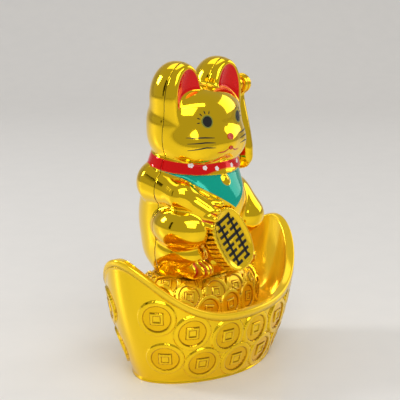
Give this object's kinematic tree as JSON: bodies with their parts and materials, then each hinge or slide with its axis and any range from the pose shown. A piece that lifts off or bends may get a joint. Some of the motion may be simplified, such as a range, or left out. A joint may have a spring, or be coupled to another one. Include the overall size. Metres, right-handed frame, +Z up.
{
  "type": "beckoning cat figurine",
  "caption": "Gold-plated seated cat with one swinging raised arm, holding a tablet, on a mound of coins in an ingot-shaped bowl; battery pendulum drive inside.",
  "frame": {"origin": "centre of the footprint, on the table", "axes": "+Z up, the cat faces -Y, its left side with the raised arm is +X"},
  "size_m": [0.114, 0.07, 0.1454],
  "materials": {
    "gold_plate": "vacuum-plated gold under clear lacquer",
    "white_plastic": "as moulded",
    "yellow_plastic": "as moulded, light gloss",
    "steel": "bright",
    "brass": "turned",
    "copper": "enamelled copper winding",
    "board_green": "solder mask",
    "black_plastic": "as moulded",
    "cell_wrap": "plain printed sleeve",
    "red_sleeve": "wire insulation"
  },
  "bodies": {
    "cat_and_ingot": {"cat_front_shell": "gold_plate", "cat_rear_shell": "gold_plate", "koban_plaque": "gold_plate", "ingot_hull": "gold_plate", "ingot_bowl": "gold_plate", "shoulder_bush": "white_plastic", "drive_frame": "white_plastic", "coil_bobbin": "white_plastic", "coil_winding": "copper", "drive_board": "board_green", "board_standoff_1": "white_plastic", "board_standoff_2": "white_plastic", "drive_chip": "black_plastic", "drive_capacitor": "black_plastic", "frame_screw_1": "steel", "frame_screw_2": "steel", "base_plate": "yellow_plastic", "base_screw_1": "steel", "base_screw_2": "steel", "base_screw_3": "steel", "base_screw_4": "steel", "battery_cell": "cell_wrap", "battery_spring": "steel", "battery_contact": "steel", "lead_negative": "black_plastic", "lead_positive": "red_sleeve"},
    "waving_arm": {"raised_arm_inner": "gold_plate", "raised_arm_outer": "gold_plate", "arm_axle": "steel", "axle_clip": "steel", "pendulum_bar": "white_plastic", "pendulum_magnet": "steel", "balance_weight": "brass"},
    "battery_cover": {"battery_door": "yellow_plastic"}
  },
  "joints": [
    {"name": "arm_swing", "type": "hinge", "parent": "cat_and_ingot", "child": "waving_arm", "pos_m": [0, 0.004, 0.094], "axis": [1, 0, 0], "range_deg": [-14, 14]},
    {"name": "door_slide", "type": "slide", "parent": "cat_and_ingot", "child": "battery_cover", "axis": [1, 0, 0], "range_m": [0, 0.005]}
  ]
}
